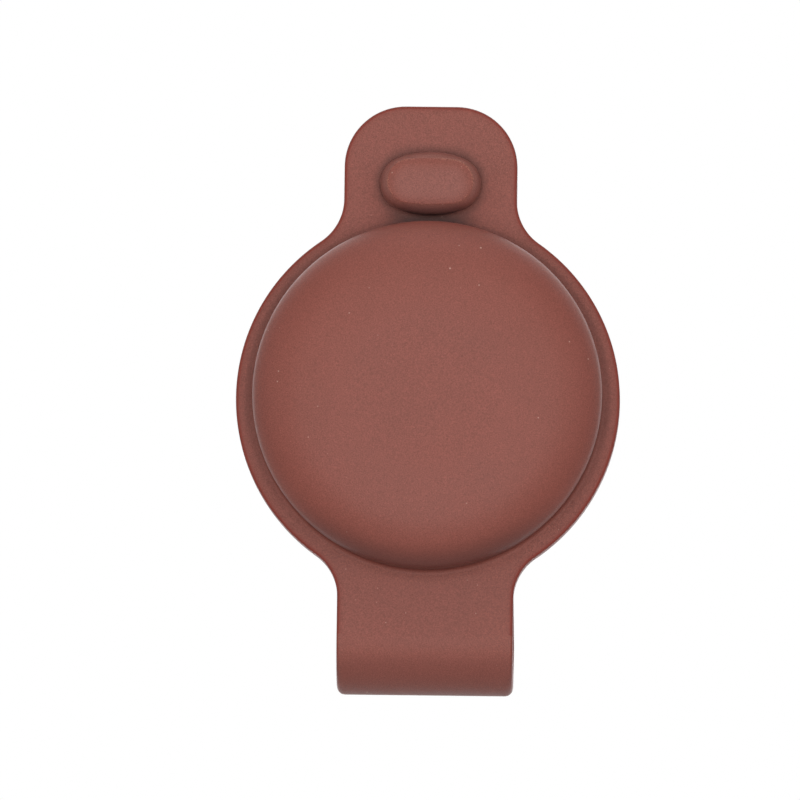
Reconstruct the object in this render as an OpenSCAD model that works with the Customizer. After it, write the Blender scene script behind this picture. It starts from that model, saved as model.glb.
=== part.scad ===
// Tracker tag holder: a silicone pocket on a plate, with a strap that folds round a collar or a
// bag strap and buttons through the tab above the pocket. It holds a coin-shaped tracker tag.
// The origin is the middle of the channel that the collar runs through. X runs along the collar,
// Z up to the tab, and the pocket faces -Y.

/* [Tag size] */
// Across the tag
tag_d = 31.9; // [31:0.1:36]
// Through the tag, from crown to crown
tag_t = 8.0; // [7.9:0.1:10]
// Radius of the gentle fall from the face's flat middle to its shoulder
tag_blend_r = 20.5; // [15:0.5:30]
// Width of that fall
face_fall_w = 4.95; // [4:0.05:5.5]
// Radius of the tag's shoulder
tag_shoulder_r = 2.5; // [2:0.1:3]

/* [Pocket] */
// Room between the tag and the pocket
tag_clear = 0.1; // [0.05:0.01:0.2]
// Wall of the pocket
pocket_wall = 1.4; // [1:0.1:2.5]
// How far the tag's back lies in front of the plate's back
tag_recess = 0.8; // [0.5:0.1:1.5]
// Room between the pocket's mouth and the bay of the tag's cover
mouth_clear = 0.15; // [0:0.05:0.6]
// Radius of the hollow where the pocket meets the plate
foot_r = 0.7; // [0.3:0.1:0.8]

/* [Plate and tab] */
// Thickness of plate, tab and strap
sheet_t = 2.2; // [1.6:0.1:2.4]
// How far the round plate stands out past the pocket
plate_rim = 1.75; // [1.2:0.05:4]
// Width of the tab
tab_w = 17.3; // [16:0.1:20]
// How far the tab reaches past the stud's head
tab_over = 4.4; // [3.5:0.1:9]
// Radius of the tab's corners
tab_corner_r = 6.1; // [3:0.1:7.5]
// Radius of the hollows where tab and plate meet
tab_fillet_r = 5.2; // [2:0.1:7]

/* [Strap and fold] */
// Width of the strap at the fold
strap_w = 17.6; // [16:0.1:20]
// Width of the strap's end
strap_end_w = 15.6; // [14:0.1:15.9]
// Radius of the hollows where strap and plate meet
strap_fillet_r = 5.1; // [2:0.1:7]
// Clear gap inside the fold
fold_gap = 6.6; // [5:0.1:9]
// Drop from the plate's round edge to the centre of the fold
fold_below = 4.5; // [3.5:0.1:12]
// Radius of the fold's outer corners
fold_corner_r = 0.8; // [0.3:0.1:2]
// Distance below the stud at which the strap meets the tab
meet_below = 6.8; // [5:0.1:9]
// How far the strap's end stays below the tab's top
end_short = 2.2; // [1:0.1:2.6]
// Gap between the buttoned strap and the tab
seat_gap = 0.2; // [0.1:0.05:0.4]
// Width of the collar that the channel's middle is set for
collar_w = 20.0; // [15:0.5:25]

/* [Stud] */
// Room between the stud's head and the pocket's foot
stud_room = 0.35; // [0.2:0.05:1.2]
// Length of the stud's head
head_l = 10.1; // [9:0.1:11]
// Width of the stud's head
head_w = 6.6; // [6:0.1:7]
// How far the head's top face is drawn in all round
head_draw = 0.7; // [0.3:0.1:1.2]
// Height of the head above the tab
head_top = 3.1; // [2:0.1:4]
// Height of the upright band round the head's foot
head_band = 0.5; // [0.3:0.1:1]
// Gap under the head
head_gap = 0.25; // [0.1:0.05:0.4]
// Length of the stud's neck
neck_l = 7.0; // [6:0.1:7.6]
// Width of the stud's neck
neck_w = 3.5; // [3:0.1:4.2]
// Room round the neck in the buttonhole
neck_clear = 0.2; // [0.1:0.05:0.4]

/* [Tag shell and cover] */
// Wall of the white shell
shell_wall = 1.0; // [0.6:0.1:1.2]
// Width of the white rim round the cover
rim_w = 3.1; // [2.8:0.1:3.6]
// Thickness of the rim at its outer edge
rim_t = 1.0; // [0.6:0.1:1.2]
// How far the cover's crown stands behind the rim's inner edge
cover_proud = 0.9; // [0.7:0.1:1]
// Fall of the rim from its inner edge to its outer edge
rim_fall = 0.7; // [0.5:0.1:0.8]
// Sheet thickness of the steel cover
cover_t = 0.4; // [0.3:0.05:0.5]
// Fall of the cover from its crown to its bend
cover_fall = 0.45; // [0.3:0.05:0.6]
// Bend radius at the cover's edge
cover_bend = 0.6; // [0.5:0.05:0.7]
// Running gap round the cover
cover_gap = 0.25; // [0.2:0.05:0.3]
// Depth of the cover's skirt
cover_skirt = 1.5; // [1.4:0.05:1.6]

/* [Bayonet] */
// Wall of the bayonet ring
lock_wall = 0.8; // [0.6:0.1:0.9]
// Depth of the lugs and the ledges
lug_t = 0.45; // [0.3:0.05:0.5]
// Running gap between lugs and ledges
lug_gap = 0.12; // [0.08:0.01:0.15]
// Gap between plastic parts that are glued or clipped together
part_gap = 0.1; // [0.05:0.01:0.12]
// Number of lugs
lug_count = 3; // [2:1:4]
// Angle that each lug covers
lug_angle = 26; // [20:1:27]
// Angle that the cover turns to come free
turn_angle = 30; // [28:1:40]
// Angle that each stop of the lugs covers
stop_angle = 3; // [2:1:5]
// Angle left free between a lug and its stop
stop_play = 1; // [1:1:2]
// Section of the bay's seal
seal_t = 0.5; // [0.4:0.05:0.6]

/* [Battery bay] */
// Room between the bayonet ring and the coin cell
cell_room = 1.3; // [1:0.1:3]
// Thickness of the coin cell
cell_t = 3.2; // [3:0.1:3.2]
// Sheet thickness of the cell's can
can_t = 0.25; // [0.2:0.05:0.3]
// Width of the cell's gasket
cell_seal_w = 0.6; // [0.4:0.05:0.8]
// How far the cell's cap stands proud of its can
cap_proud = 0.2; // [0.1:0.05:0.3]
// Gap above and below the cell
cell_gap = 0.1; // [0.05:0.01:0.12]
// Room round the cell, which the side contacts bridge
cell_side_gap = 0.55; // [0.5:0.05:0.7]
// Wall of the cup round the cell
cup_wall = 0.6; // [0.4:0.1:0.8]
// Floor between the cell and the board
floor_t = 0.5; // [0.4:0.05:0.6]
// Thickness of the foam pad
pad_t = 0.45; // [0.3:0.05:0.5]
// Radius of the foam pad
pad_r = 7.0; // [5:0.1:8]

/* [Electronics] */
// Thickness of the circuit board
board_t = 0.8; // [0.6:0.1:0.9]
// Gap between the board's edge and the shell
board_edge_gap = 0.9; // [0.7:0.1:2]
// Width of the board's band that carries the chips
chip_band = 4.25; // [4:0.05:5]
// Height of the chips
chip_t = 0.7; // [0.4:0.05:0.9]
// Length of the chips
chip_l = 3.6; // [2:0.1:4]
// Width of the chips
chip_w = 2.0; // [1:0.1:2.2]
// Number of chips
chip_count = 7; // [5:1:8]
// Thickness of the leaf contacts
contact_t = 0.2; // [0.15:0.01:0.25]
// Width of the leaf contacts
contact_w = 2.4; // [1.5:0.1:3]
// Height of the speaker's magnet
magnet_t = 1.4; // [1:0.1:1.5]
// Room between the magnet and the coil
magnet_room = 0.3; // [0.2:0.05:1]
// Width of the coil's winding
coil_w = 1.0; // [0.6:0.05:1.1]
// Height of the coil's winding
coil_t = 1.3; // [0.8:0.1:1.5]
// Room between the coil and the hole in the board
coil_room = 0.5; // [0.3:0.05:1]
// Width of the aerial carrier
aerial_w = 3.0; // [2:0.1:3.2]
// Depth of the notches in the aerial carrier's edge
aerial_notch = 0.8; // [0.4:0.1:1.2]

/* [Hidden] */
$fn = 96;

// Colours
silicone = [0.56, 0.37, 0.34];
white_plastic = [0.93, 0.93, 0.92];
steel = [0.75, 0.75, 0.77];
board_green = [0.10, 0.30, 0.20];
copper = [0.72, 0.45, 0.25];
dark = [0.15, 0.15, 0.16];
foam = [0.35, 0.35, 0.36];

// Overrun of every cut past the face that it opens
cut = 1.0;
// Steps along a rounded profile, and along the strap's curve
arc_steps = 10;
strap_steps = 24;

// The fold: centre, radii, and the angles where one part of the hinge ends and the next begins.
// Angles run from the front of the fold, 0, under it to the back, 180.
fold_in_r = fold_gap / 2;
fold_out_r = fold_in_r + sheet_t;
fold_z = fold_in_r - collar_w / 2;
hinge_parts = 4;
hinge_step = 180 / hinge_parts;
hinge_start = hinge_step / 2;
reach = 2 * fold_out_r;

// Pocket and plate radii
tag_r = tag_d / 2;
dome_r = tag_r + tag_clear + pocket_wall;
plate_r = dome_r + plate_rim;

// The plate's back, the axis of the pocket, and heights above that axis
back_y = -fold_in_r;
fold_drop = plate_r + fold_below;
disc_z = fold_z + fold_drop;
stud_up = dome_r + foot_r + stud_room + head_w / 2;
tab_top = stud_up + head_w / 2 + tab_over;
meet_up = stud_up - meet_below;
strap_top = tab_top - end_short;

// Heights in front of the plate's back, from the cover's crown to the pocket's face
cover_h = tag_recess;
pad_h = cover_h + cover_t;
cell_h = pad_h + pad_t + cell_gap;
floor_h = cell_h + cell_t + cell_gap;
board_h = floor_h + floor_t + contact_t;
parts_h = board_h + board_t;
crown_h = tag_recess + tag_t;
face_h = crown_h + tag_clear + pocket_wall;
rim_h = cover_h + cover_proud;
rim_low_h = rim_h + rim_fall;
rim_top_h = rim_low_h + rim_t;
skirt_h = cover_h + cover_skirt;
ledge_h = skirt_h + lug_gap;
lug_h = ledge_h + lug_t + lug_gap;
lock_top_h = lug_h + lug_t;

// Centre line of the face's fall and shoulder, shared by the pocket and the tag's shell
blend_r = tag_blend_r + tag_clear + pocket_wall;
shoulder_r = tag_shoulder_r + tag_clear + pocket_wall;
shoulder_x = dome_r - shoulder_r;
face_flat_r = shoulder_x - face_fall_w;
fall_angle = asin(face_fall_w / (blend_r - shoulder_r));
shoulder_h = face_h - blend_r + (blend_r - shoulder_r) * cos(fall_angle);

// Radii inside the tag
shell_in_r = tag_r - shell_wall;
bay_r = tag_r - rim_w;
mouth_r = bay_r + mouth_clear;
cover_r = bay_r - cover_gap;
lock_r = cover_r - cover_t - part_gap;
lug_r = bay_r - lug_gap;
cell_r = lock_r - lock_wall - cell_room;
cup_r = cell_r + cell_side_gap;
board_r = shell_in_r - board_edge_gap;
aerial_r = shoulder_x - aerial_w;
board_hole_r = aerial_r - chip_band;
coil_r = board_hole_r - coil_room;
magnet_r = coil_r - coil_w - magnet_room;

function arc(x, y, r, from, to, steps = arc_steps) =
    [for (i = [0:steps]) let (a = from + (to - from) * i / steps) [x + r * cos(a), y + r * sin(a)]];

// Half section of the domed face, drawn in by depth from the pocket's outside
function face_curve(depth) = concat(
    [[0, face_h - depth]],
    arc(face_flat_r, face_h - blend_r, blend_r - depth, 90, 90 - fall_angle),
    arc(shoulder_x, shoulder_h, shoulder_r - depth, 90 - fall_angle, 0));

// Section of the tag's rim, from its side round to its inner edge, swollen by grow
function rim_curve(grow, inner_r) = concat(
    arc(tag_r - rim_t, rim_low_h + rim_t, rim_t + grow, 0, -90),
    [[inner_r, rim_h - grow]]);

// Distance from the plate's back to the strap, at height z
function smooth(t) = t * t * (3 - 2 * t);
function strap_gap(z) =
    let (t = min(max((z - fold_z) / (disc_z + meet_up - fold_z), 0), 1))
    seat_gap + (fold_gap - seat_gap) * (1 - smooth(t));

// Frames: on the pocket's axis with z to the front, and in the strap's side view with z along X
module on_disc(up = 0) translate([0, back_y, disc_z + up]) rotate([90, 0, 0]) children();
module side_view() rotate([90, 0, 90]) children();

module turned(points) on_disc() rotate_extrude() polygon(points);

module washer(outer, inner, low, high) {
    on_disc() translate([0, 0, low]) linear_extrude(high - low) difference() {
        circle(outer);
        circle(inner);
    }
}

module stadium(length, width) {
    square([length - width, width], center = true);
    for (side = [-1, 1]) translate([side * (length - width) / 2, 0]) circle(width / 2);
}

// Hollow corner between the round plate and a straight side at half width w
module corner_web(w, r) {
    across = w + r;
    up = sqrt((plate_r + r) * (plate_r + r) - across * across);
    touch = plate_r / (plate_r + r);
    difference() {
        polygon([[0, 0], [across * touch, up * touch], [across, up], [w, up], [0, up]]);
        translate([across, up]) circle(r);
    }
}

module both_webs(w, r) for (side = [0, 1]) mirror([side, 0]) corner_web(w, r);

module plate_outline() {
    circle(plate_r);
    translate([-tab_w / 2, 0]) square([tab_w, tab_top - tab_corner_r]);
    translate([tab_corner_r - tab_w / 2, 0]) square([tab_w - 2 * tab_corner_r, tab_top]);
    for (side = [-1, 1])
        translate([side * (tab_w / 2 - tab_corner_r), tab_top - tab_corner_r]) circle(tab_corner_r);
    both_webs(tab_w / 2, tab_fillet_r);
    translate([-strap_w / 2, -fold_drop]) square([strap_w, fold_drop]);
    mirror([0, 1]) both_webs(strap_w / 2, strap_fillet_r);
}

// Part of the fold between two angles, with the fold's outer corners rounded in the front view
module fold_part(from, to) {
    inner_w = strap_w - 2 * fold_corner_r;
    intersection() {
        side_view() linear_extrude(strap_w, center = true) translate([0, fold_z]) intersection() {
            difference() {
                circle(fold_out_r);
                circle(fold_in_r);
            }
            polygon(concat([[0, 0]], arc(0, 0, reach, 180 + from, 180 + to, 2)));
        }
        rotate([90, 0, 0]) linear_extrude(reach, center = true) translate([0, fold_z]) {
            translate([-strap_w / 2, fold_corner_r - fold_out_r]) square([strap_w, reach]);
            translate([-inner_w / 2, -fold_out_r]) square([inner_w, reach]);
            for (side = [-1, 1])
                translate([side * inner_w / 2, fold_corner_r - fold_out_r]) circle(fold_corner_r);
        }
    }
}

module front_body() color(silicone) {
    difference() {
        union() {
            on_disc() linear_extrude(sheet_t) plate_outline();
            turned(concat([[0, 0]], face_curve(0),
                arc(dome_r + foot_r, sheet_t + foot_r, foot_r, 180, 270), [[dome_r + foot_r, 0]]));
        }
        turned(concat(face_curve(pocket_wall), rim_curve(tag_clear, mouth_r), [[mouth_r, -cut], [0, -cut]]));
        on_disc(stud_up) translate([0, 0, -cut]) linear_extrude(sheet_t + 2 * cut)
            stadium(neck_l + 2 * neck_clear, neck_w + 2 * neck_clear);
    }
    fold_part(0, hinge_start);
}

module fold_front() color(silicone) fold_part(hinge_start, hinge_start + hinge_step);

module fold_bottom() color(silicone) fold_part(hinge_start + hinge_step, hinge_start + 2 * hinge_step);

module fold_back() color(silicone) fold_part(hinge_start + 2 * hinge_step, hinge_start + 3 * hinge_step);

module back_strap() color(silicone) {
    end_top = disc_z + strap_top;
    end_r = strap_end_w / 2;
    heights = [for (i = [0:strap_steps]) fold_z + (disc_z + meet_up - fold_z) * i / strap_steps];
    front = [for (z = concat(heights, [end_top])) [back_y + strap_gap(z), z]];
    rear = [for (p = front) [p[0] + sheet_t, p[1]]];
    back = [for (i = [len(rear) - 1:-1:0]) rear[i]];
    intersection() {
        side_view() linear_extrude(strap_w, center = true) polygon(concat(front, back));
        rotate([90, 0, 0]) linear_extrude(2 * reach, center = true) {
            polygon([[-strap_w / 2, fold_z], [strap_w / 2, fold_z],
                [end_r, end_top - end_r], [-end_r, end_top - end_r]]);
            translate([0, end_top - end_r]) circle(end_r);
        }
    }
    fold_part(180 - hinge_start, 180);
}

module closure_stud() color(silicone) on_disc(stud_up) {
    foot = sheet_t + head_gap;
    band = foot + head_band;
    top = sheet_t + head_top;
    top_w = head_w - 2 * head_draw;
    translate([0, 0, -seat_gap]) linear_extrude(foot + seat_gap) stadium(neck_l, neck_w);
    translate([0, 0, foot]) linear_extrude(head_band) stadium(head_l, head_w);
    side_view() linear_extrude(head_l - head_w, center = true)
        polygon([[-head_w / 2, band], [head_w / 2, band], [top_w / 2, top], [-top_w / 2, top]]);
    for (side = [-1, 1]) translate([side * (head_l - head_w) / 2, 0, band])
        cylinder(h = top - band, r1 = head_w / 2, r2 = top_w / 2);
}

module tag_shell() color(white_plastic) {
    outer = face_curve(pocket_wall + tag_clear);
    inner = face_curve(pocket_wall + tag_clear + shell_wall);
    back = [for (i = [len(inner) - 1:-1:0]) inner[i]];
    edge_h = rim_top_h + part_gap;
    turned(concat(outer, [[tag_r, edge_h], [shell_in_r, edge_h]], back));
}

module antenna_carrier() color(white_plastic) difference() {
    on_disc() rotate_extrude() intersection() {
        polygon(concat(face_curve(pocket_wall + tag_clear + shell_wall + part_gap), [[0, shoulder_h]]));
        translate([aerial_r, parts_h + part_gap]) square([aerial_w, tag_t]);
    }
    on_disc() for (turn = [0, 120, 240]) rotate([0, 0, turn])
        translate([shoulder_x - aerial_notch, -aerial_w / 2, parts_h]) cube([aerial_w, aerial_w, tag_t]);
}

module speaker_coil() color(copper)
    washer(coil_r, coil_r - coil_w, crown_h - shell_wall - coil_t, crown_h - shell_wall);

module speaker_magnet() color(steel) washer(magnet_r, 0, floor_h + floor_t, floor_h + floor_t + magnet_t);

module circuit_board() color(board_green) washer(board_r, board_hole_r, board_h, parts_h);

module board_parts() color(dark) on_disc() for (i = [0:chip_count - 1])
    rotate([0, 0, 360 * i / chip_count])
        translate([board_hole_r + (chip_band - chip_w) / 2, -chip_l / 2, parts_h])
            cube([chip_w, i % 2 == 0 ? chip_l : chip_l / 2, chip_t]);

// Slots in the bay's floor that the leaf contacts come up through
module contact_slots() {
    wide = contact_w + 2 * contact_t;
    on_disc() {
        translate([-wide / 2, -cup_r, floor_h - cut]) cube([wide, cup_r, floor_t + 2 * cut]);
        for (side = [0, 180]) rotate([0, 0, side])
            translate([cell_r - contact_t, -wide / 2, floor_h - cut])
                cube([cell_side_gap + contact_t, wide, floor_t + 2 * cut]);
    }
}

module battery_contacts() color(copper) on_disc() {
    foot_h = floor_h + floor_t;
    leaf_r = cell_r + contact_t / 2;
    foot_l = cup_wall + cell_side_gap;
    for (side = [0, 180]) rotate([0, 0, side]) {
        translate([leaf_r, -contact_w / 2, cell_h + cell_t / 2])
            cube([contact_t, contact_w, foot_h + contact_t - cell_h - cell_t / 2]);
        translate([leaf_r, -contact_w / 2, foot_h]) cube([foot_l, contact_w, contact_t]);
    }
    translate([-contact_w / 2, -cell_r + contact_w / 2, cell_h + cell_t])
        cube([contact_w, cell_r - contact_w / 2, contact_t]);
    translate([-contact_w / 2, -cell_r + contact_w / 2, cell_h + cell_t])
        cube([contact_w, contact_t, foot_h + contact_t - cell_h - cell_t]);
    translate([-contact_w / 2, -cell_r + contact_w / 2, foot_h])
        cube([contact_w, contact_w / 2, contact_t]);
}

// Arcs of the bayonet, one for each lug, from a start angle and between two radii and two heights
module bayonet_arcs(start, sweep, inner_r, outer_r, low, high) {
    on_disc() for (i = [0:lug_count - 1]) rotate([0, 0, 360 * i / lug_count + start])
        translate([0, 0, low]) rotate_extrude(angle = sweep) translate([inner_r, 0])
            square([outer_r - inner_r, high - low]);
}

module battery_tray() color(white_plastic) {
    side_r = shell_in_r - part_gap;
    cup_h = lock_top_h + part_gap;
    difference() {
        turned(concat(rim_curve(0, bay_r),
            [[bay_r, floor_h], [cup_r + cup_wall, floor_h], [cup_r + cup_wall, cup_h], [cup_r, cup_h],
             [cup_r, floor_h], [0, floor_h], [0, floor_h + floor_t], [side_r, floor_h + floor_t],
             [side_r, rim_top_h], [tag_r, rim_top_h]]));
        contact_slots();
    }
    bayonet_arcs(-lug_angle / 2, lug_angle, lock_r + lug_gap, bay_r + part_gap, ledge_h, ledge_h + lug_t);
    for (start = [lug_angle / 2 + stop_play, -lug_angle / 2 - turn_angle - stop_play - stop_angle])
        bayonet_arcs(start, stop_angle, lock_r + lug_gap, bay_r + part_gap, ledge_h, lock_top_h);
}

module bay_seal() color(dark)
    washer(bay_r, bay_r - seal_t, lock_top_h + lug_gap, lock_top_h + lug_gap + seal_t);

module cell_can() color(steel) {
    rim = cell_h + cell_t - cap_proud;
    turned([[0, cell_h], [cell_r, cell_h], [cell_r, rim], [cell_r - 2 * can_t, rim],
        [cell_r - 2 * can_t, rim - can_t], [cell_r - can_t, rim - can_t], [cell_r - can_t, cell_h + can_t],
        [0, cell_h + can_t]]);
}

module cell_gasket() color(dark)
    washer(cell_r - 2 * can_t, cell_r - 2 * can_t - cell_seal_w, cell_h + can_t, cell_h + cell_t - cap_proud);

module cell_cap() color(steel)
    washer(cell_r - 2 * can_t - cell_seal_w, 0, cell_h + can_t, cell_h + cell_t);

module battery_cover() color(steel) {
    bend_h = cover_h + cover_fall;
    turned([[0, cover_h], [pad_r, cover_h], [cover_r - cover_bend, bend_h], [cover_r, bend_h + cover_bend],
        [cover_r, skirt_h], [cover_r - cover_t, skirt_h], [cover_r - cover_t, bend_h + cover_bend],
        [cover_r - cover_bend, bend_h + cover_t], [pad_r, pad_h], [0, pad_h]]);
}

module lock_ring() color(white_plastic) {
    washer(lock_r, lock_r - lock_wall, cover_h + cover_fall + cover_bend, lock_top_h);
    bayonet_arcs(-lug_angle / 2, lug_angle, lock_r - lock_wall / 2, lug_r, lug_h, lock_top_h);
}

module cover_pad() color(foam) washer(pad_r, 0, pad_h, pad_h + pad_t);

front_body();
fold_front();
fold_bottom();
fold_back();
back_strap();
closure_stud();
tag_shell();
antenna_carrier();
speaker_coil();
speaker_magnet();
circuit_board();
board_parts();
battery_contacts();
battery_tray();
bay_seal();
cell_can();
cell_gasket();
cell_cap();
battery_cover();
lock_ring();
cover_pad();
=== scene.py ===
import math

import bmesh
import bpy
from mathutils import Matrix, Vector


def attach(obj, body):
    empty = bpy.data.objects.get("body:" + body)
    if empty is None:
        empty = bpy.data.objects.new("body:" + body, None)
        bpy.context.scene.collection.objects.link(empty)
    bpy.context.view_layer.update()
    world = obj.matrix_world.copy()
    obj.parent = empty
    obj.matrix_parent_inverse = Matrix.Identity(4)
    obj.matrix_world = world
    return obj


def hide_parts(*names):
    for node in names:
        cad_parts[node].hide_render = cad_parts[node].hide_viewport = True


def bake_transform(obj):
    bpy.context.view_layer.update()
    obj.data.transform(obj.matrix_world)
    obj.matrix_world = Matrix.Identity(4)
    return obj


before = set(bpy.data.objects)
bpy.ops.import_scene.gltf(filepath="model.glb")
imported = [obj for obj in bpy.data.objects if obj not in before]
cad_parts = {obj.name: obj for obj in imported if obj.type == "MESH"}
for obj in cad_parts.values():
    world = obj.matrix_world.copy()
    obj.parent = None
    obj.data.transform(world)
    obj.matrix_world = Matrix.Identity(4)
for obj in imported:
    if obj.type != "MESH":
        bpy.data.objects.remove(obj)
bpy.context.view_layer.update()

# Sizes in millimetres. Most are the part source's own. The pocket's face and foot, the stud's head and the
# edges are finer here.
MM = 0.001

# Round plate, tab and lower strap
SHEET = 2.2
PLATE_R = 19.195
TAB_HALF = 8.65
TAB_TOP = 29.5
TAB_CORNER = 6.1
TAB_HOLLOW = 5.2
STRAP_HALF = 8.8
STRAP_HOLLOW = 5.1

# Rounding of the edges, the narrow ring beside it that keeps its shading crisp, and the extra length of a strap
# that is cut off again
EDGE = 0.25
SUPPORT = 0.06
SPARE = 3

# Where the plate's back and the pocket's axis lie, and where the fold begins
BACK_Y = -3.3
DISC_Z = 17.0
FOLD_Z = -6.7
FOLD_DROP = DISC_Z - FOLD_Z

# Outside of the pocket: bends of (radius, angle at its end) from the flat middle to the wall, which leans in
# to its foot
FACE_FLAT = 6.98
FACE_H = 10.3
FACE_BENDS = ((28.9, 12.0), (7.4, 35.0), (5.0, 60.0), (2.2, 90.0))
DOME_R = 17.45
LEAN = math.radians(4)
FOOT_R = 0.5
# The face's tone grows redder from this radius on, over this distance: a painted sheen that falls away on the
# shoulder
SHEEN_FADE_FROM = 12
SHEEN_FADE_OVER = 5

# Inside of the pocket, down to the lip round its mouth
WALL = 1.4
ROOM_FLAT = 8.5
FALL_R = 22.0
FALL_ANGLE = 15.962
SHOULDER = (13.45, 5.606)
MOUTH_R = 13.0
MOUTH_EDGE = 0.2
LIP_H = 1.6
LIP_TOP = 2.3
LIP_CURVE = 1.1

# Buttonhole and stud. Near 1, a fullness gives a round-ended slot, and below it an oval.
STUD_UP = 21.8
HOLE = (7.4, 3.9)
NECK = (7.0, 3.5)
SLOT_FULL = 0.97
HEAD = (10.08, 6.4)
HEAD_FULL = 0.85
HEAD_FACE = (8.62, 4.72)
FACE_FULL = 0.95
FACE_CROWN = 0.28
HEAD_LOW = 0.22
HEAD_FOOT = 2.45
HEAD_FOOT_R = 0.5
HEAD_TOP = 5.2
FLANK_LEAN = math.radians(58)

# Fold and back strap
FOLD_IN = 3.3
FOLD_OUT = 5.5
FOLD_CORNER = 0.8
LINK = 45
SEAT_GAP = 0.2
MEET_Z = 32.0
END_TOP = 44.3
END_HALF = 7.8

# Steel cover
COVER_R = 12.6
COVER_H = 0.8
COVER_FLAT = 7.0
COVER_FALL = 0.45
COVER_BEND = 0.6
COVER_T = 0.4
COVER_SKIRT = 2.3

# Floor, far below and wide enough for every view
FLOOR_DROP = 540
FLOOR_HALF = 4000

# Steps of a full turn, of an oval's ends and sides, of a link's bend and of the strap's curve
ROUND = 192
OVAL_END = 24
OVAL_SIDE = 16
LINK_STEPS = 48
STRAP_STEPS = 72

Y_AXIS = (0, 1, 0)


# Drawing and shaping


def point(bm, x, y, z):
    """A pen set down at a place."""
    return bmesh.ops.create_vert(bm, co=(x, y, z))["vert"][0]


def line(bm, pen, to):
    """Draws a straight edge and returns the pen at its end."""
    made = bmesh.ops.extrude_vert_indiv(bm, verts=[pen])["verts"][0]
    made.co = to
    return made


def arc(bm, pen, centre, degrees, steps, axis=(0, 0, 1)):
    """Draws an arc of short edges round a centre and returns the pen at its end."""
    made = bmesh.ops.spin(bm, geom=[pen], cent=centre, axis=axis, dvec=(0, 0, 0), angle=math.radians(degrees),
                          steps=steps, use_merge=False, use_normal_flip=False, use_duplicate=False)
    return [g for g in made["geom_last"] if isinstance(g, bmesh.types.BMVert)][0]


def face_on(bm, edges, up):
    """Fills a drawn outline with one face that looks along up."""
    face = bmesh.ops.contextual_create(bm, geom=edges)["faces"][0]
    face.normal_update()
    if face.normal.dot(Vector(up)) < 0:
        bmesh.ops.reverse_faces(bm, faces=[face])
    return face


def step_in(bm, face, steps, label):
    """Insets a face again and again. Each step is how far in, how far up, and the label's value there."""
    for inward, along, value in steps:
        bmesh.ops.inset_region(bm, faces=[face], thickness=inward, depth=along, use_even_offset=True,
                               use_boundary=True, use_interpolate=False)
        for v in face.verts:
            v[label] = value


def rounding(radius, segments):
    """Steps that turn a wall into a face over a rounded edge, which stays thin."""
    turn = [math.pi / 2 * i / segments for i in range(segments + 1)]
    return [(radius * (math.cos(a) - math.cos(b)), radius * (math.sin(b) - math.sin(a)), 1.0)
            for a, b in zip(turn, turn[1:])]


def slab(bm, edges, height):
    """Raises an outline drawn at EDGE into a flat sheet with thin rounded edges. Returns its back and front."""
    thin = bm.verts.layers.float.new("thin")
    raised = bmesh.ops.extrude_edge_only(bm, edges=edges)["geom"]
    lifted = [g for g in raised if isinstance(g, bmesh.types.BMVert)]
    bmesh.ops.translate(bm, vec=(0, 0, height - 2 * EDGE), verts=lifted)
    tops = [g for g in raised if isinstance(g, bmesh.types.BMEdge)]
    for v in bm.verts:
        v[thin] = 1.0
    back = face_on(bm, edges, (0, 0, -1))
    front = face_on(bm, tops, (0, 0, 1))
    # The thin tone fades out over 0.6 mm of the face
    fade = [(SUPPORT, 0, 0.45), (0.2, 0, 0.15), (0.35, 0, 0.0)]
    for face in (back, front):
        step_in(bm, face, rounding(EDGE, 4) + fade, thin)
    return back, front


def turned(bm, profile):
    """Turns a profile drawn in the XZ plane a full turn round Z."""
    verts = {v for e in profile for v in e.verts}
    bmesh.ops.spin(bm, geom=list(verts) + profile, cent=(0, 0, 0), axis=(0, 0, 1), dvec=(0, 0, 0),
                   angle=2 * math.pi, steps=ROUND, use_merge=True, use_normal_flip=False, use_duplicate=False)


def ring_edges(bm, ring):
    """The edges round a ring."""
    return [bm.edges.get(pair) for pair in zip(ring, ring[1:] + ring[:1])]


def oval_ring(bm, ring, length, width, fullness, h):
    """Raises the next ring of an oval of four arcs from the last one, or draws the first."""
    half, side = length / 2, width / 2
    end_r = side * fullness
    end_x = half - end_r
    side_r = (end_x ** 2 + side ** 2 - end_r ** 2) / (2 * (side - end_r))
    turn = math.atan2(side_r - side, end_x)
    count = 2 * (OVAL_END + OVAL_SIDE)
    if ring:
        known = set(bm.verts)
        bmesh.ops.extrude_edge_only(bm, edges=ring_edges(bm, ring))
        ring = [next(e.other_vert(v) for e in v.link_edges if e.other_vert(v) not in known) for v in ring]
    else:
        ring = bmesh.ops.create_circle(bm, cap_ends=False, radius=1, segments=count)["verts"][:1]
        while len(ring) < count:
            beside = [e.other_vert(ring[-1]) for e in ring[-1].link_edges]
            ring.append(next(v for v in beside if v not in ring[-2:]))
    at = 0
    for x, y, radius, start, span, steps in (
            (end_x, 0, end_r, -turn, 2 * turn, OVAL_END),
            (0, side - side_r, side_r, turn, math.pi - 2 * turn, OVAL_SIDE),
            (-end_x, 0, end_r, math.pi - turn, 2 * turn, OVAL_END),
            (0, side_r - side, side_r, math.pi + turn, math.pi - 2 * turn, OVAL_SIDE)):
        for i in range(steps):
            a = start + span * i / steps
            ring[at].co = (x + radius * math.cos(a), STUD_UP + y + radius * math.sin(a), h)
            at += 1
    return ring


def grown(size, out):
    """An oval's length and width with so much more all round."""
    return size[0] + 2 * out, size[1] + 2 * out


def between(value, low, high):
    """The value, or the nearer end where it lies outside."""
    return min(max(value, low), high)


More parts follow.
